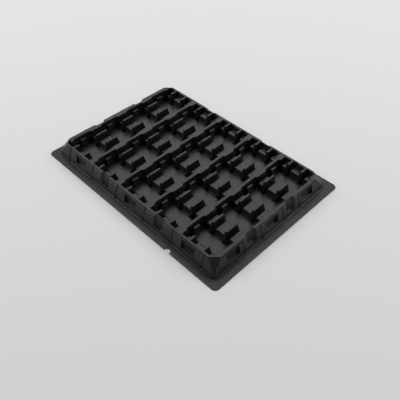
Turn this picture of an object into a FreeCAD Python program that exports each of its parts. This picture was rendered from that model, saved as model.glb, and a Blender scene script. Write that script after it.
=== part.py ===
"""Thermoformed nesting tray: one sheet of black plastic, drawn up into twenty pockets.

The tray is the difference of two solids made by the same functions. The outer skin is the
top face of the sheet. The inner skin is the same form set in by the sheet's thickness, so
every wall, rib and pocket floor keeps that thickness. The frame: +X along the long side,
+Y along the short side, +Z up, origin at the centre of the flange's underside. Heights in
the sheet count from the flange's top face.
"""
import FreeCAD, Part
import math
import os

from FreeCAD import Placement, Rotation, Vector
import Sketcher

SIZES = {
    # the sheet and its flat flange, with a bite out of the near edge
    "sheet": 0.8,
    "flange_length": 300.0,
    "flange_width": 214.7,
    "flange_corner": 6.0,
    "bite_at": 76.8,
    "bite_half": 3.9,
    "bite_depth": 4.2,
    # the raised form, its half sizes taken at the rim
    "form_shift": -0.8,
    "rim_height": 19.3,
    "rim_half_x": 134.2,
    "rim_half_y": 91.2,
    "form_corner": 7.5,
    "rim_run": 0.15,
    "rim_step": 0.5,
    "shoulder_drop": 2.3,
    "wall_run": 0.32,
    "skirt_height": 1.6,
    "skirt_ledge": 0.9,
    "facet_cut": 10.5,
    "facet_run": 0.95,
    # the grid of pockets and the ribs between its columns
    "pitch_x": 52.3,
    "pitch_y": 43.8,
    "rib_width": 3.7,
    "rib_run": 0.06,
    "floor_height": 4.5,
    "gutter_height": 1.0,
    "gutter_side": -16.6,
    "gutter_side_run": 0.14,
    "far_side_run": 0.2,
    "trough_near": -88.6,
    "trough_far": 86.7,
    "trough_end_run": 0.12,
    # the dividers between the pockets, placed from the second one's middle
    "divider_at": -45.9,
    "arm_height": 12.4,
    "arm_front": -8.0,
    "arm_back": 8.0,
    "arm_front_run": 0.215,
    "arm_back_run": 0.67,
    "arm_side_run": 0.06,
    "first_arm": -18.9,
    "first_slot": -8.9,
    "second_arm": -5.5,
    "second_slot": 11.0,
    "third_arm": 14.8,
    "ridge_width": 2.8,
    "ridge_front": -8.1,
    "ridge_back": 8.9,
    "ridge_front_run": 0.14,
    "ridge_back_run": 0.3,
    "boss_reach": 4.1,
    "boss_half_length": 7.6,
    # the trenches that lead into the slots between the arms
    "trench_front": -12.4,
    "trench_back": 12.6,
    "trench_half": 3.6,
    "trench_shift": -1.0,
    "trench_run": 0.2,
    "slot_end_run": 0.6,
    # the lug that stands in the gutter beside each pocket
    "lug_height": 15.0,
    "lug_at_x": -21.4,
    "lug_at_y": -67.7,
    "lug_length": 8.6,
    "lug_width": 2.9,
    "lug_run": 0.1,
    # the recesses and creases of the outer walls
    "recess_floor": 5.5,
    "notch_half": 5.6,
    "notch_flare": 0.8,
    "notch_depth_x": 3.4,
    "notch_depth_y": 2.6,
    "notch_run": 0.24,
    "notch_at_x": 48.0,
    "notch_at_y": 33.4,
    "pit_at": 2.6,
    "pit_width": 2.0,
    "pit_length": 6.0,
    "pit_depth": 1.5,
    "pit_run": 0.2,
    "window_half": 9.2,
    "window_depth": -0.7,
    "window_end_run": 0.1,
    "window_at_x": 95.3,
    "window_at_y": 63.6,
    "groove_depth": 1.2,
    "long_wall_centre": 1.0,
    "short_wall_centre": -2.0,
    "groove_apart_x": 23.0,
    "groove_apart_y": 14.6,
}
COLUMNS = 5
DIVIDERS = 5
BEYOND = "rim_height + 2"


def make_sizes(doc):
    """Put the driving dimensions into a spreadsheet, one aliased cell each."""
    table = doc.addObject("Spreadsheet::Sheet", "Sizes")
    for row, (name, value) in enumerate(SIZES.items(), 1):
        table.set(f"A{row}", name)
        table.set(f"B{row}", str(value))
        table.setAlias(f"B{row}", name)
    doc.recompute()
    return table


def cells(formula):
    """Point every driving dimension named in a formula at its spreadsheet cell."""
    words = formula.replace("(", "( ").replace(")", " )").split()
    return " ".join("Sizes." + word if word in SIZES else word for word in words)


def bind(thing, **formulas):
    """Bind an object's properties to formulas of the driving dimensions."""
    for name, formula in formulas.items():
        thing.setExpression(name, cells(formula))


def place(thing, x, y, z):
    """Bind where an object stands."""
    for axis, formula in zip("xyz", (x, y, z)):
        thing.setExpression(f".Placement.Base.{axis}", cells(formula))


def rounded_rectangle(doc, name, half_x, half_y, corner):
    """Sketch a rectangle with round corners about its own origin."""
    sketch = doc.addObject("Sketcher::SketchObject", name)
    a, b, c = 20.0, 10.0, 2.0
    ends = [
        ((c - a, -b), (a - c, -b)),
        ((a, c - b), (a, b - c)),
        ((a - c, b), (c - a, b)),
        ((-a, b - c), (-a, c - b)),
    ]
    sides = [
        sketch.addGeometry(Part.LineSegment(Vector(*p, 0), Vector(*q, 0)), False) for p, q in ends
    ]
    centres = [(a - c, c - b), (a - c, b - c), (c - a, b - c), (c - a, c - b)]
    bends = []
    for turn, centre in enumerate(centres, -1):
        circle = Part.Circle(Vector(*centre, 0), Vector(0, 0, 1), c)
        arc = Part.ArcOfCircle(circle, turn * math.pi / 2, (turn + 1) * math.pi / 2)
        bends.append(sketch.addGeometry(arc, False))
    for i, side in enumerate(sides):
        sketch.addConstraint(Sketcher.Constraint("Tangent", side, 2, bends[i], 1))
        sketch.addConstraint(Sketcher.Constraint("Tangent", bends[i], 2, sides[(i + 1) % 4], 1))
        sketch.addConstraint(Sketcher.Constraint(("Horizontal", "Vertical")[i % 2], side))
    for bend in bends[1:]:
        sketch.addConstraint(Sketcher.Constraint("Equal", bends[0], bend))
    sizes = [
        (Sketcher.Constraint("Radius", bends[0], c), corner),
        (Sketcher.Constraint("DistanceX", -1, 1, sides[1], 1, a), half_x),
        (Sketcher.Constraint("DistanceX", sides[3], 1, -1, 1, a), half_x),
        (Sketcher.Constraint("DistanceY", -1, 1, sides[2], 1, b), half_y),
        (Sketcher.Constraint("DistanceY", sides[0], 1, -1, 1, b), half_y),
    ]
    for constraint, formula in sizes:
        index = sketch.addConstraint(constraint)
        sketch.setExpression(f"Constraints[{index}]", cells(formula))
    return sketch


def trapezium(doc, name, half, flare, reach):
    """Sketch a trapezium that opens towards +X from a back edge on its own origin."""
    sketch = doc.addObject("Sketcher::SketchObject", name)
    corners = [(0, -5), (15, -17), (15, 17), (0, 5)]
    sides = []
    for (ax, ay), (bx, by) in zip(corners, corners[1:] + corners[:1]):
        line = Part.LineSegment(Vector(ax, ay, 0), Vector(bx, by, 0))
        sides.append(sketch.addGeometry(line, False))
    for side, following in zip(sides, sides[1:] + sides[:1]):
        sketch.addConstraint(Sketcher.Constraint("Coincident", side, 2, following, 1))
    sketch.addConstraint(Sketcher.Constraint("PointOnObject", sides[0], 1, -2))
    sketch.addConstraint(Sketcher.Constraint("Vertical", sides[1]))
    sketch.addConstraint(Sketcher.Constraint("Vertical", sides[3]))
    mouth = f"{half} + {flare} * {reach}"
    sizes = [
        (Sketcher.Constraint("DistanceY", sides[0], 1, -1, 1, 5.0), half),
        (Sketcher.Constraint("DistanceY", -1, 1, sides[3], 1, 5.0), half),
        (Sketcher.Constraint("DistanceX", -1, 1, sides[1], 1, 15.0), reach),
        (Sketcher.Constraint("DistanceY", sides[1], 1, -1, 1, 17.0), mouth),
        (Sketcher.Constraint("DistanceY", -1, 1, sides[1], 2, 17.0), mouth),
    ]
    for constraint, formula in sizes:
        index = sketch.addConstraint(constraint)
        sketch.setExpression(f"Constraints[{index}]", cells(formula))
    return sketch


class Skin:
    """One face of the sheet, lying at a depth under the tray's top face."""

    def __init__(self, doc, name, depth, bottom):
        self.doc = doc
        self.name = name
        self.depth = depth
        self.bottom = bottom

    def add(self, kind, name):
        return self.doc.addObject(kind, f"{self.name}_{name}")

    def join(self, name, shapes):
        fuse = self.add("Part::MultiFuse", name)
        fuse.Shapes = shapes
        return fuse

    def cut(self, name, base, tool):
        result = self.add("Part::Cut", name)
        result.Base = base
        result.Tool = tool
        return result

    def block(self, name, raised, x, y, end, level, runs, origin=("0", "0"), turn=0, foot=None):
        """Add a block with drafted sides.

        x and y are its edges at the height level, and end is its top if it is raised or its
        floor if it is sunk. runs is how far the -X, +X, -Y and +Y sides run outwards (raised)
        or inwards (sunk) for each millimetre down. A raised block reaches down to its foot,
        or well below the form.
        """
        grow = "1" if raised else "-1"
        low = (foot or "0 - rim_height") if raised else f"{end} - {self.depth}"
        high = f"{end} - {self.depth}" if raised and end != BEYOND else BEYOND

        def side(edge, run, height, outward):
            lean = f"( {run} ) * ( {level} - ( {height} ) )"
            inset = f"{self.depth} * sqrt( 1 + ( {run} ) ^ 2 )"
            return f"{edge} + {outward} * {grow} * ( {lean} - {inset} )"

        wedge = self.add("Part::Wedge", name)
        west, east, south, north = runs
        bind(
            wedge,
            Ymin=f"{low} + sheet",
            Ymax=f"{high} + sheet",
            Xmin=side(x[0], west, low, "-1"),
            X2min=side(x[0], west, high, "-1"),
            Xmax=side(x[1], east, low, "1"),
            X2max=side(x[1], east, high, "1"),
            Zmin="0 - ( " + side(y[1], north, low, "1") + " )",
            Z2min="0 - ( " + side(y[1], north, high, "1") + " )",
            Zmax="0 - ( " + side(y[0], south, low, "-1") + " )",
            Z2max="0 - ( " + side(y[0], south, high, "-1") + " )",
        )
        upright = Rotation(Vector(1, 0, 0), 90)
        wedge.Placement = Placement(Vector(), Rotation(Vector(0, 0, 1), turn) * upright)
        place(wedge, *origin, "0")
        return wedge

    def tier(self, name, top, half_x, half_y, run, table):
        """Add a storey of the raised form, with round corners, its half sizes at the top."""
        storey = self.block(
            f"{name}_block",
            True,
            (f"0 - ( {half_x} )", half_x),
            (f"0 - ( {half_y} )", half_y),
            top,
            top,
            (run,) * 4,
            ("form_shift", "form_shift"),
            foot=f"{self.bottom} - sheet",
        )
        self.doc.recompute()
        radius = table.form_corner - (table.sheet if self.depth == "sheet" else 0)
        upright = [
            (index, radius, radius)
            for index, edge in enumerate(storey.Shape.Edges, 1)
            if abs(edge.Vertexes[0].Z - edge.Vertexes[1].Z) > table.sheet
        ]
        rounded = self.add("Part::Fillet", name)
        rounded.Base = storey
        rounded.Edges = upright
        return rounded


def trough(skin):
    """The column's open trough, with the deeper gutter along its -X side."""
    edge = "( pitch_x - rib_width ) / 2"
    y = ("trough_near", "trough_far")
    ends = ("trough_end_run", "trough_end_run")
    return [
        skin.block(
            "trough", False, (f"0 - {edge}", edge), y, "floor_height", "rim_height",
            ("rib_run", "far_side_run", *ends),
        ),
        skin.block(
            "gutter", False, (f"0 - {edge}", "gutter_side"), y, "gutter_height", "rim_height",
            ("rib_run", "gutter_side_run", *ends),
        ),
    ]


def trenches(skin, row, y):
    """The two slots of a divider, sunk to the gutter's depth and flared at their mouths.

    The end dividers run into the rim, so their slots stop at the trough's ends.
    """
    parts = []
    slots = (("first_slot", "second_arm"), ("second_slot", "third_arm"))
    drop = "( rim_height - floor_height )"
    near_end = f"trough_near + slot_end_run * {drop}" if row == 0 else f"{y} + arm_front"
    far_end = f"trough_far - trough_end_run * {drop}" if row == DIVIDERS - 1 else f"{y} + trench_back"
    near_run, slot_floor = ("slot_end_run", "floor_height") if row == 0 else ("trench_run", "gutter_height")
    for number, (left, right) in enumerate(slots):
        runs = ("arm_side_run", "arm_side_run", near_run, "trench_run")
        slot_x = (f"{left} - trench_half / 2", f"{right} + trench_half / 2")
        spans = {"slot": (slot_x, (near_end, far_end))}
        if row > 0:
            middle = f"( {left} + {right} ) / 2 + trench_shift"
            mouth_x = (f"{middle} - trench_half", f"{middle} + trench_half")
            spans["mouth"] = (mouth_x, (f"{y} + trench_front", f"{y} + arm_front / 2"))
        for part, (across, along) in spans.items():
            name = f"{part}_{row}_{number}"
            parts.append(skin.block(name, False, across, along, slot_floor, "floor_height", runs))
    return parts


def arms(skin, row, y):
    """The three arms of a divider, and the ridge on the +X edge of the first two."""
    parts = []
    spans = (("first_arm", "first_slot"), ("second_arm", "second_slot"), ("third_arm", "pitch_x / 2"))
    arm_y = (f"{y} + arm_front", f"{y} + arm_back")
    arm_run = ("arm_side_run", "arm_side_run", "arm_front_run", "arm_back_run")
    ridge_y = (f"{y} + ridge_front", f"{y} + ridge_back")
    ridge_run = ("arm_side_run", "arm_side_run", "ridge_front_run", "ridge_back_run")
    for number, (left, right) in enumerate(spans):
        parts.append(
            skin.block(
                f"arm_{row}_{number}", True, (left, right), arm_y, "arm_height", "arm_height", arm_run
            )
        )
        if number < 2:
            edge = f"{right} - arm_side_run * ( rim_height - arm_height )"
            ridge_x = (f"{edge} - ridge_width", edge)
            parts.append(
                skin.block(f"ridge_{row}_{number}", True, ridge_x, ridge_y, BEYOND, "rim_height", ridge_run)
            )
    return parts


def bosses(skin, row, y):
    """The swellings of the ribs on both sides of a divider, with ends at 45 degrees."""
    parts = []
    for side in (-1, 1):
        boss = skin.add("Part::Wedge", f"boss_{row}_{(side + 1) // 2}")
        tip = f"boss_half_length - {skin.depth} * ( sqrt( 2 ) - 1 )"
        reach = f"boss_reach - {skin.depth}"
        bind(
            boss,
            Ymin="0",
            Ymax=reach,
            Xmin=f"0 - ( {tip} ) - ( {reach} )",
            Xmax=f"{tip} + {reach}",
            X2min=f"0 - ( {tip} )",
            X2max=tip,
            Zmin="0 - rim_height",
            Z2min="0 - rim_height",
            Zmax=BEYOND + " + sheet",
            Z2max=BEYOND + " + sheet",
        )
        boss.Placement = Placement(Vector(), Rotation(Vector(0, 0, 1), 90 * side))
        place(boss, f"{side} * pitch_x / 2", f"{y} + ( ridge_front + ridge_back ) / 2", "0")
        parts.append(boss)
    return parts


def lug(skin, row):
    """The upright lug in the gutter beside a pocket."""
    x = ("lug_at_x - lug_width / 2", "lug_at_x + lug_width / 2")
    middle = f"lug_at_y + {row} * pitch_y"
    y = (f"{middle} - lug_length / 2", f"{middle} + lug_length / 2")
    runs = ("lug_run",) * 4
    return skin.block(f"lug_{row}", True, x, y, "lug_height", "lug_height", runs)


def column(skin):
    """The space inside one column of pockets, about X = 0."""
    sunk = trough(skin)
    raised = []
    for row in range(DIVIDERS):
        y = f"divider_at + {row - 1} * pitch_y"
        sunk += trenches(skin, row, y)
        raised += arms(skin, row, y) + bosses(skin, row, y)
    raised += [lug(skin, row) for row in range(DIVIDERS - 1)]
    return skin.cut("column", skin.join("sunk", sunk), skin.join("raised", raised))


def mound(skin, table):
    """The raised form without its pockets: rim, drafted wall and skirt, each a tier."""
    foot = "wall_run * ( rim_height - skirt_height ) + skirt_ledge"
    shoulder = "wall_run * shoulder_drop"
    tiers = [
        skin.tier("rim", "rim_height", "rim_half_x - rim_step", "rim_half_y - rim_step", "rim_run", table),
        skin.tier(
            "wall", "rim_height - shoulder_drop", f"rim_half_x + {shoulder}",
            f"rim_half_y + {shoulder}", "wall_run", table,
        ),
        skin.tier("skirt", "skirt_height", f"rim_half_x + {foot}", f"rim_half_y + {foot}", "0", table),
    ]
    return skin.join("mound", tiers)


def facets(skin):
    """The leaning facet cut off each corner."""
    start = "( rim_half_x + rim_half_y - facet_cut ) / sqrt( 2 )"
    x = (start, f"{start} + rim_half_y")
    y = ("0 - rim_half_y", "rim_half_y")
    centre = ("form_shift", "form_shift")
    return [
        skin.block(
            f"facet_{turn}", False, x, y, "skirt_height", "rim_height", ("facet_run", "0", "0", "0"),
            centre, turn,
        )
        for turn in (45, 135, 225, 315)
    ]


def axes(turn):
    """The sine and cosine of a quarter turn."""
    return round(math.sin(math.radians(turn))), round(math.cos(math.radians(turn)))


def notch(skin, name, across, middle, centre, turn):
    """A stacking notch in the rim: it flares outwards and narrows downwards on all sides.

    across is how far its back lies from the form's centre, and middle where it is along the
    wall, which faces +X before its turn.
    """
    run = "notch_run"
    sine, cosine = axes(turn)
    inset = f"{skin.depth} * ( sqrt( 1 + {run} ^ 2 ) - {run} )"
    widen = f"{inset} * ( sqrt( 1 + notch_flare ^ 2 ) - notch_flare )"
    back = f"notch_half + {widen}"
    reach = "rim_height"
    sketch = trapezium(skin.doc, f"{skin.name}_{name}_outline", back, "notch_flare", reach)
    sketch.Placement = Placement(Vector(), Rotation(Vector(0, 0, 1), turn))
    place(
        sketch,
        f"{centre[0]} + {cosine} * ( {across} - {inset} ) - {sine} * ( {middle} )",
        f"{centre[1]} + {sine} * ( {across} - {inset} ) + {cosine} * ( {middle} )",
        "rim_height + sheet",
    )
    down = skin.add("Part::Extrusion", name)
    down.Base = sketch
    down.DirMode = "Custom"
    down.Dir = Vector(0, 0, -1)
    down.Solid = True
    bind(
        down,
        LengthFwd=f"rim_height - recess_floor + {skin.depth}",
        TaperAngle=f"-1 * atan( {run} )",
    )
    return down


def wall_recesses(skin, wall, turn, half, depth, notch_at, window_at, apart):
    """The notches, windows and creases of one outer wall, which faces +X before its turn."""
    sine, cosine = axes(turn)
    centre = ("form_shift", "short_wall_centre") if cosine else ("long_wall_centre", "form_shift")
    parts = []
    for number, middle in enumerate((f"0 - {notch_at}", notch_at)):
        back = f"{half} - {depth}"
        parts.append(notch(skin, f"notch_{wall}_{number}", back, middle, centre, turn))
        pit_x = (f"{half} + pit_at - pit_width / 2", f"{half} + pit_at + pit_width / 2")
        pit_y = (f"{middle} - pit_length / 2", f"{middle} + pit_length / 2")
        name = f"pit_{wall}_{number}"
        runs = ("pit_run",) * 4
        parts.append(
            skin.block(name, False, pit_x, pit_y, "recess_floor - pit_depth", "recess_floor", runs, centre, turn)
        )
    for number, place_y in enumerate((f"0 - {window_at}", "0", window_at)):
        x = (f"{half} - window_depth", f"{half} + rim_height")
        y = (f"{place_y} - window_half", f"{place_y} + window_half")
        runs = ("0", "0", "window_end_run", "window_end_run")
        name = f"window_{wall}_{number}"
        parts.append(
            skin.block(name, False, x, y, "recess_floor", "recess_floor", runs, centre, turn)
        )
    offsets = [f"{a} * {notch_at} + {b} * {apart}" for a in (-1, 1) for b in (-1, 1)]
    if half == "rim_half_y":
        offsets += [f"{a} * ( {window_at} + {apart} )" for a in (-1, 1)]
    for number, offset in enumerate(offsets):
        out = f"( {half} - groove_depth )"
        origin = (
            f"{centre[0]} + {cosine} * {out} - {sine} * ( {offset} )",
            f"{centre[1]} + {sine} * {out} + {cosine} * ( {offset} )",
        )
        run = "wall_run / sqrt( 2 )"
        reach = ("0", "groove_depth * 4 + rim_height * wall_run")
        name = f"groove_{wall}_{number}"
        parts.append(
            skin.block(
                name, False, reach, reach, "skirt_height / 2", "rim_height", (run, "0", run, "0"),
                origin, turn - 45,
            )
        )
    return parts


def repeat_columns(skin, single, table):
    """Repeat the column at the pitch; the Part workbench has no array of its own."""
    pitch = table.pitch_x
    row = skin.add("Part::Feature", "columns")
    copies = []
    for number in range(COLUMNS):
        copy = single.Shape.copy()
        copy.translate(Vector((number - (COLUMNS - 1) / 2) * pitch, 0, 0))
        copies.append(copy)
    row.Shape = Part.makeCompound(copies)
    return row


def form(skin, table):
    """The whole form under one face of the sheet."""
    single = column(skin)
    body = mound(skin, table)
    recesses = facets(skin)
    walls = (
        ("right", 0, "rim_half_x", "notch_depth_x", "notch_at_y", "window_at_y", "groove_apart_y"),
        ("far", 90, "rim_half_y", "notch_depth_y", "notch_at_x", "window_at_x", "groove_apart_x"),
        ("left", 180, "rim_half_x", "notch_depth_x", "notch_at_y", "window_at_y", "groove_apart_y"),
        ("near", 270, "rim_half_y", "notch_depth_y", "notch_at_x", "window_at_x", "groove_apart_x"),
    )
    for wall in walls:
        recesses += wall_recesses(skin, *wall)
    skin.doc.recompute()
    columns = repeat_columns(skin, single, table)
    shell = skin.cut("shell", body, skin.join("recesses", recesses))
    return skin.cut("form", shell, columns)


def flange(doc):
    """The flat flange, with a bite out of its near edge."""
    outline = rounded_rectangle(
        doc, "flange_outline", "flange_length / 2", "flange_width / 2", "flange_corner"
    )
    plate = doc.addObject("Part::Extrusion", "plate")
    plate.Base = outline
    plate.DirMode = "Custom"
    plate.Dir = Vector(0, 0, 1)
    plate.Solid = True
    bind(plate, LengthFwd="sheet")
    bite = doc.addObject("Part::Cylinder", "bite")
    bind(bite, Radius="bite_half", Height="3 * sheet")
    place(bite, "bite_at", "0 - flange_width / 2 + bite_depth - bite_half", "0 - sheet")
    bitten = doc.addObject("Part::Cut", "flange")
    bitten.Base = plate
    bitten.Tool = bite
    return bitten


def make_tray(doc, table):
    """Join the flange to the outer form and hollow it with the inner one."""
    outer = form(Skin(doc, "outer", "0", "0"), table)
    inner = form(Skin(doc, "inner", "sheet", "0 - sheet"), table)
    solid = doc.addObject("Part::MultiFuse", "solid")
    solid.Shapes = [flange(doc), outer]
    tray = doc.addObject("Part::Cut", "tray")
    tray.Base = solid
    tray.Tool = inner
    tray.Refine = True
    tray.Label = "tray"
    return tray


def check(doc, tray):
    """Stop if any object failed or the tray is not one sound solid."""
    for thing in doc.Objects:
        if "Invalid" in thing.State or "Error" in thing.State:
            raise RuntimeError(f"{thing.Label} failed: {thing.State}")
    shape = tray.Shape
    if shape.isNull() or not shape.isValid() or len(shape.Solids) != 1:
        raise RuntimeError(f"the tray has {len(shape.Solids)} solids")


def main():
    doc = FreeCAD.newDocument("Tray")
    table = make_sizes(doc)
    tray = make_tray(doc, table)
    doc.recompute()
    check(doc, tray)
    os.makedirs("parts", exist_ok=True)
    tray.Shape.exportStep("parts/tray.step")
    box = tray.Shape.BoundBox
    print(f"tray {box.XLength:.1f} x {box.YLength:.1f} x {box.ZLength:.1f} mm")
    print(f"volume {tray.Shape.Volume / 1000:.1f} cm3, {len(tray.Shape.Faces)} faces")


main()
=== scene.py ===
import math

import bmesh
import bpy
from bpy.props import FloatProperty, FloatVectorProperty, IntProperty, PointerProperty, StringProperty
from mathutils import Matrix, Vector


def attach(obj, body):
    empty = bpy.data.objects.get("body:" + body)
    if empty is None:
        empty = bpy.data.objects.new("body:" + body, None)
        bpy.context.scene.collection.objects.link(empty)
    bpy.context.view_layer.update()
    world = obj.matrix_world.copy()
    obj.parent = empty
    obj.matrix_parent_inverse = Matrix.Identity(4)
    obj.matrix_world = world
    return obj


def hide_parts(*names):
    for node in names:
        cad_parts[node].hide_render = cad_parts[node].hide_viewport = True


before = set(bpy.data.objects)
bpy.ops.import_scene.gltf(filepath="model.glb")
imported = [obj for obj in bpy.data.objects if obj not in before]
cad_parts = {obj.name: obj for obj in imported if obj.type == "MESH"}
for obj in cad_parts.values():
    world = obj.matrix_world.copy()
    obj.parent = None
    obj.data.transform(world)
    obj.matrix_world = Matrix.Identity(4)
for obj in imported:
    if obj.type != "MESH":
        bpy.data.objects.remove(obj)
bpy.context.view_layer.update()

bl_info = {
    "name": "Thermoformed tray",
    "version": (1, 0, 0),
    "blender": (4, 5, 0),
    "location": "View3D > Sidebar > Tray",
    "description": "A black thermoformed tray with a grid of pockets, and the studio it stands in",
    "category": "Object",
}

TRAY = "tray"
MM = 0.001

# How the sheet's mesh is read: what counts as one point, one face, and no turned edge
SAME_POINT = 0.004 * MM
SAME_FACE = math.radians(0.6)
SHARPEST_FLAT = math.radians(24)
# A rounding takes up at most this share of the room beside its edge, which is counted so far
SHARE_OF_ROOM = 0.45
MOST_ROOM = 5 * MM

FLOOR_HALF = 3.0
LAMP_DISTANCE = 2.0
# Name, azimuth and elevation in degrees, width and height in metres, radiance
SOFTBOXES = (
    ("back_softbox", 135, 46, 1.5, 1.3, 2.3),
    ("left_softbox", -148, 42, 1.2, 1.0, 4.5),
    ("right_softbox", 58, 42, 1.2, 1.0, 4.5),
)
WORLD_LIGHT = 0.2


# ------------------------------------------------------------------ settings


class TraySettings(bpy.types.PropertyGroup):
    """Sizes and finish of the formed sheet."""

    edge_radius: FloatProperty(
        name="Edge radius",
        description="How far the sheet rounds off where it turns over the mould's edges",
        default=0.55 * MM,
        min=0.05 * MM,
        unit="LENGTH",
    )
    edge_segments: IntProperty(
        name="Edge segments",
        description="Strips that make up each rounded edge",
        default=2,
        min=1,
        max=4,
    )
    plastic: StringProperty(
        name="Plastic",
        description="Colour of the sheet, as sRGB hex",
        default="#1B1B1D",
    )
    roughness: FloatProperty(
        name="Roughness",
        description="How widely the formed face spreads a reflection",
        default=0.33,
        min=0.0,
        max=1.0,
        subtype="FACTOR",
    )


class StageSettings(bpy.types.PropertyGroup):
    """The studio round the tray."""

    target: FloatVectorProperty(
        name="Camera target",
        description="Point on the flange that the camera looks at",
        default=(47.99 * MM, -27.50 * MM, 0.8 * MM),
        subtype="TRANSLATION",
        unit="LENGTH",
    )
    azimuth: FloatProperty(
        name="Azimuth",
        description="Direction of the camera round the tray, from +X",
        default=math.radians(-45.05),
        subtype="ANGLE",
    )
    elevation: FloatProperty(
        name="Elevation",
        description="Height of the camera above the floor as an angle",
        default=math.radians(46.47),
        subtype="ANGLE",
    )
    roll: FloatProperty(
        name="Roll",
        description="Turn of the camera about its own view",
        default=math.radians(0.20),
        subtype="ANGLE",
    )
    distance: FloatProperty(
        name="Distance",
        description="From the camera to its target",
        default=588.80 * MM,
        unit="LENGTH",
    )
    lens: FloatProperty(
        name="Focal length",
        description="Focal length for a sensor 36 mm wide, in millimetres",
        default=44.66,
        min=10.0,
    )
    backdrop: StringProperty(
        name="Backdrop",
        description="Colour of floor and backdrop, as sRGB hex",
        default="#DEDEDE",
    )


# ----------------------------------------------------------------- materials


def linear(hex_colour):
    """An sRGB hex colour as linear RGBA."""
    channels = [int(hex_colour[i : i + 2], 16) / 255 for i in (1, 3, 5)]
    return tuple(c / 12.92 if c <= 0.04045 else ((c + 0.055) / 1.055) ** 2.4 for c in channels) + (1.0,)


def new_material(name):
    """An empty node material and its node tree."""
    material = bpy.data.materials.new(name)
    material.use_nodes = True
    material.node_tree.nodes.clear()
    return material, material.node_tree


def add(tree, kind, inputs=(), **settings):
    """Add a node: settings are its own, inputs are values or sockets for its sockets."""
    node = tree.nodes.new(kind)
    for key, value in settings.items():
        setattr(node, key, value)
    for key, value in dict(inputs).items():
        if isinstance(value, bpy.types.NodeSocket):
            tree.links.new(value, node.inputs[key])
        else:
            node.inputs[key].default_value = value
    return node


def vacuum_formed_polystyrene(settings):
    """Black high-impact polystyrene sheet, vacuum formed over a machined mould.

    To the eye it is a satin black: the extruded face keeps a faint orange peel and slow waves,
    and its gloss and colour wander a little in patches where it was handled and took up dust.
    """
    material, tree = new_material("vacuum_formed_polystyrene")
    place = add(tree, "ShaderNodeTexCoord").outputs["Object"]
    # Orange peel of the extruded sheet, about 0.8 mm from crest to crest
    peel = add(
        tree, "ShaderNodeTexNoise",
        {"Vector": place, "Scale": 1 / (0.8 * MM), "Detail": 3.0, "Roughness": 0.55},
    ).outputs["Fac"]
    # Slow waves where the sheet cooled unevenly, about 14 mm long
    waves = add(
        tree, "ShaderNodeTexNoise",
        {"Vector": place, "Scale": 1 / (14 * MM), "Detail": 2.0, "Roughness": 0.5},
    ).outputs["Fac"]
    # Handling marks and dust, in soft patches of about 6 mm with finer grit in them
    patches = add(
        tree, "ShaderNodeTexNoise",
        {"Vector": place, "Scale": 1 / (6 * MM), "Detail": 6.0, "Roughness": 0.68},
    ).outputs["Fac"]
    rough = add(
        tree, "ShaderNodeMapRange",
        {"Value": patches, "From Min": 0.3, "From Max": 0.7,
         "To Min": settings.roughness - 0.05, "To Max": settings.roughness + 0.07},
    ).outputs["Result"]
    base = linear(settings.plastic)
    dusty = tuple(1.35 * c + 0.002 for c in base[:3]) + (1.0,)
    dust = add(
        tree, "ShaderNodeMapRange",
        {"Value": patches, "From Min": 0.45, "From Max": 0.8, "To Min": 0.0, "To Max": 0.8},
    ).outputs["Result"]
    colour = add(tree, "ShaderNodeMix", {0: dust, 6: base, 7: dusty}, data_type="RGBA")
    fine = add(
        tree, "ShaderNodeBump", {"Height": peel, "Strength": 0.25, "Distance": 0.02 * MM}
    ).outputs["Normal"]
    bump = add(
        tree, "ShaderNodeBump",
        {"Height": waves, "Strength": 0.5, "Distance": 0.12 * MM, "Normal": fine},
    ).outputs["Normal"]
    shader = add(
        tree, "ShaderNodeBsdfPrincipled",
        {"Base Color": colour.outputs[2], "Roughness": rough, "IOR": 1.59,
         "Specular IOR Level": 0.26, "Specular Tint": (0.93, 0.95, 1.0, 1.0), "Normal": bump},
    )
    add(tree, "ShaderNodeOutputMaterial", {"Surface": shader.outputs["BSDF"]})
    return material


def seamless_paper(settings):
    """Matt backdrop paper, pale grey: to the eye plain and without shine."""
    material, tree = new_material("seamless_paper")
    colour = linear(settings.backdrop)
    place = add(tree, "ShaderNodeTexCoord").outputs["Object"]
    fibre = add(
        tree, "ShaderNodeTexNoise", {"Vector": place, "Scale": 1 / (1.5 * MM), "Detail": 2.0}
    ).outputs["Fac"]
    bump = add(
        tree, "ShaderNodeBump", {"Height": fibre, "Strength": 0.05, "Distance": 0.05 * MM}
    ).outputs["Normal"]
    shader = add(
        tree, "ShaderNodeBsdfPrincipled",
        {"Base Color": colour, "Roughness": 0.9, "Specular IOR Level": 0.1, "Normal": bump},
    )
    add(tree, "ShaderNodeOutputMaterial", {"Surface": shader.outputs["BSDF"]})
    return material


# --------------------------------------------------------------------- tray


def one_skin(source):
    """The sheet's mesh with its faces joined along shared edges and made whole."""
    skin = bmesh.new()
    skin.from_mesh(source)
    bmesh.ops.remove_doubles(skin, verts=skin.verts, dist=SAME_POINT)
    bmesh.ops.dissolve_limit(skin, angle_limit=SAME_FACE, verts=skin.verts, edges=skin.edges)
    skin.normal_update()
    return skin


def is_sharp(edge):
    """Whether the sheet turns over this edge."""
    return edge.is_manifold and edge.calc_face_angle() > SHARPEST_FLAT


def edge_frame(face, edge):
    """An edge's start, its direction, its length and the direction into a face."""
    start, end = (v.co for v in edge.verts)
    along = end - start
    length = along.length
    along = along / length
    inwards = face.normal.cross(along)
    if (face.calc_center_median() - (start + end) / 2).dot(inwards) < 0:
        inwards = -inwards
    return start, along, length, inwards


def turns_elsewhere(other, edge):
    """Whether another edge is a turned one that doesn't meet this edge."""
    if other is edge or not other.is_manifold or other.calc_face_angle() < SHARPEST_FLAT:
        return False
    return not set(other.verts) & set(edge.verts)


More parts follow.
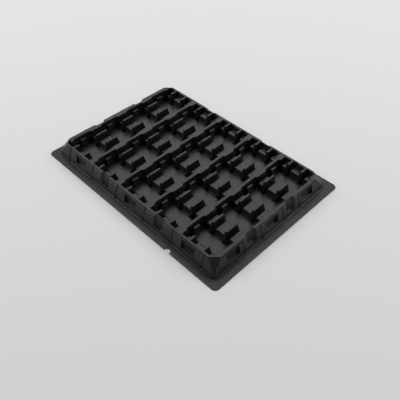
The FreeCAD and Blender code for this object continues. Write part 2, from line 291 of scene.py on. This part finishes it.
def room_inside(face, edge):
    """How far a face reaches from one of its edges before it meets another turned one."""
    start, along, length, inwards = edge_frame(face, edge)
    nearest = MOST_ROOM
    for other in face.edges:
        if not turns_elsewhere(other, edge):
            continue
        a, b = (v.co - start for v in other.verts)
        ax, ay, bx, by = a.dot(along), a.dot(inwards), b.dot(along), b.dot(inwards)
        low, high = min(ax, bx), max(ax, bx)
        if high < 0 or low > length:
            continue
        for x in (max(low, 0.0), min(high, length)):
            share = 0.0 if high == low else (x - ax) / (bx - ax)
            y = ay + share * (by - ay)
            if y > SAME_POINT:
                nearest = min(nearest, y)
    return nearest


def edge_room(edge):
    """The widest rounding that an edge has space for, on both faces and at both ends."""
    sides = [room_inside(face, edge) for face in edge.link_faces]
    ends = [
        other.calc_length()
        for vert in edge.verts
        for other in vert.link_edges
        if other is not edge and is_sharp(other)
    ]
    return SHARE_OF_ROOM * min(min(sides), min(ends, default=MOST_ROOM))


def formed_sheet(settings):
    """The tray's sheet, its turned edges rounded as far as each has room."""
    cad = bpy.data.objects[TRAY]
    skin = one_skin(cad.data)
    weights = skin.edges.layers.float.new("bevel_weight_edge")
    for edge in skin.edges:
        if is_sharp(edge):
            edge[weights] = min(1.0, edge_room(edge) / settings.edge_radius)
    mesh = bpy.data.meshes.new("formed_sheet")
    skin.to_mesh(mesh)
    skin.free()
    sheet = bpy.data.objects.new("formed_sheet", mesh)
    bpy.context.collection.objects.link(sheet)
    for face in mesh.polygons:
        face.use_smooth = True
    rounded = sheet.modifiers.new("Rounded edges", "BEVEL")
    rounded.width = settings.edge_radius
    rounded.segments = settings.edge_segments
    rounded.limit_method = "WEIGHT"
    rounded.use_clamp_overlap = False
    shading = sheet.modifiers.new("Flat faces", "WEIGHTED_NORMAL")
    shading.weight = 100
    mesh.materials.append(vacuum_formed_polystyrene(settings))
    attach(sheet, "root")
    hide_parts(TRAY)


class TRAY_OT_sheet(bpy.types.Operator):
    """Give the formed sheet its rounded edges and its satin black plastic"""

    bl_idname = "tray.sheet"
    bl_label = "Formed sheet"

    def execute(self, context):
        formed_sheet(context.scene.tray_settings)
        return {"FINISHED"}


# -------------------------------------------------------------------- stage


def floor_sheet(material):
    """A flat floor of backdrop paper that reaches past the view on every side."""
    mesh = bpy.data.meshes.new("floor")
    corners = [(x * FLOOR_HALF, y * FLOOR_HALF, 0) for x, y in ((-1, -1), (1, -1), (1, 1), (-1, 1))]
    mesh.from_pydata(corners, [], [(0, 1, 2, 3)])
    mesh.materials.append(material)
    floor = bpy.data.objects.new("floor", mesh)
    bpy.context.collection.objects.link(floor)
    return floor


def direction(azimuth, elevation):
    """The unit vector towards an azimuth and an elevation."""
    flat = math.cos(elevation)
    return Vector((flat * math.cos(azimuth), flat * math.sin(azimuth), math.sin(elevation)))


def aim(thing, position, target, roll=0.0):
    """Stand a camera or lamp at a position and point it at a target."""
    look = (target - position).to_track_quat("-Z", "Y")
    turn = look.to_matrix().to_4x4() @ Matrix.Rotation(roll, 4, "Z")
    thing.matrix_world = Matrix.Translation(position) @ turn


def softbox(name, azimuth, elevation, width, height, radiance, target):
    """A rectangular lamp with a soft face of even radiance, aimed at the tray."""
    lamp = bpy.data.lights.new(name, "AREA")
    lamp.shape = "RECTANGLE"
    lamp.size = width
    lamp.size_y = height
    lamp.energy = radiance * math.pi * width * height
    thing = bpy.data.objects.new(name, lamp)
    bpy.context.collection.objects.link(thing)
    away = direction(math.radians(azimuth), math.radians(elevation))
    aim(thing, target + away * LAMP_DISTANCE, target)


def studio_world():
    """Plain surroundings: a weak, even light from all round."""
    world = bpy.data.worlds.new("studio")
    bpy.context.scene.world = world
    world.use_nodes = True
    tree = world.node_tree
    tree.nodes.clear()
    surround = add(
        tree, "ShaderNodeBackground", {"Color": (1, 1, 1, 1), "Strength": WORLD_LIGHT}
    )
    add(tree, "ShaderNodeOutputWorld", {"Surface": surround.outputs["Background"]})


def set_camera(settings):
    """The camera, looking down at the tray over its front corner."""
    target = Vector(settings.target)
    away = direction(settings.azimuth, settings.elevation)
    data = bpy.data.cameras.new("camera")
    data.lens = settings.lens
    data.sensor_width = 36.0
    data.clip_start = 0.01
    camera = bpy.data.objects.new("camera", data)
    bpy.context.collection.objects.link(camera)
    aim(camera, target + away * settings.distance, target, settings.roll)
    bpy.context.scene.camera = camera


class TRAY_OT_stage(bpy.types.Operator):
    """Build the floor, the soft light and the camera"""

    bl_idname = "tray.stage"
    bl_label = "Studio"

    def execute(self, context):
        settings = context.scene.tray_stage
        floor_sheet(seamless_paper(settings))
        for lamp in SOFTBOXES:
            softbox(*lamp, Vector(settings.target))
        studio_world()
        set_camera(settings)
        context.scene.view_settings.view_transform = "Standard"
        return {"FINISHED"}


# -------------------------------------------------------------------- panel

OPERATORS = (TRAY_OT_sheet, TRAY_OT_stage)


class TRAY_PT_panel(bpy.types.Panel):
    """The steps that dress the tray, in order"""

    bl_idname = "TRAY_PT_panel"
    bl_label = "Thermoformed tray"
    bl_space_type = "VIEW_3D"
    bl_region_type = "UI"
    bl_category = "Tray"

    def draw(self, context):
        for operator in OPERATORS:
            self.layout.operator(operator.bl_idname)
        for settings in (context.scene.tray_settings, context.scene.tray_stage):
            for name in settings.__annotations__:
                self.layout.prop(settings, name)


CLASSES = (TraySettings, StageSettings, *OPERATORS, TRAY_PT_panel)


def register():
    for cls in CLASSES:
        bpy.utils.register_class(cls)
    bpy.types.Scene.tray_settings = PointerProperty(type=TraySettings)
    bpy.types.Scene.tray_stage = PointerProperty(type=StageSettings)


def unregister():
    del bpy.types.Scene.tray_settings
    del bpy.types.Scene.tray_stage
    for cls in reversed(CLASSES):
        bpy.utils.unregister_class(cls)


def main():
    register()
    bpy.ops.tray.sheet()
    bpy.ops.tray.stage()
    bpy.context.view_layer.update()


if __name__ == "__main__":
    main()
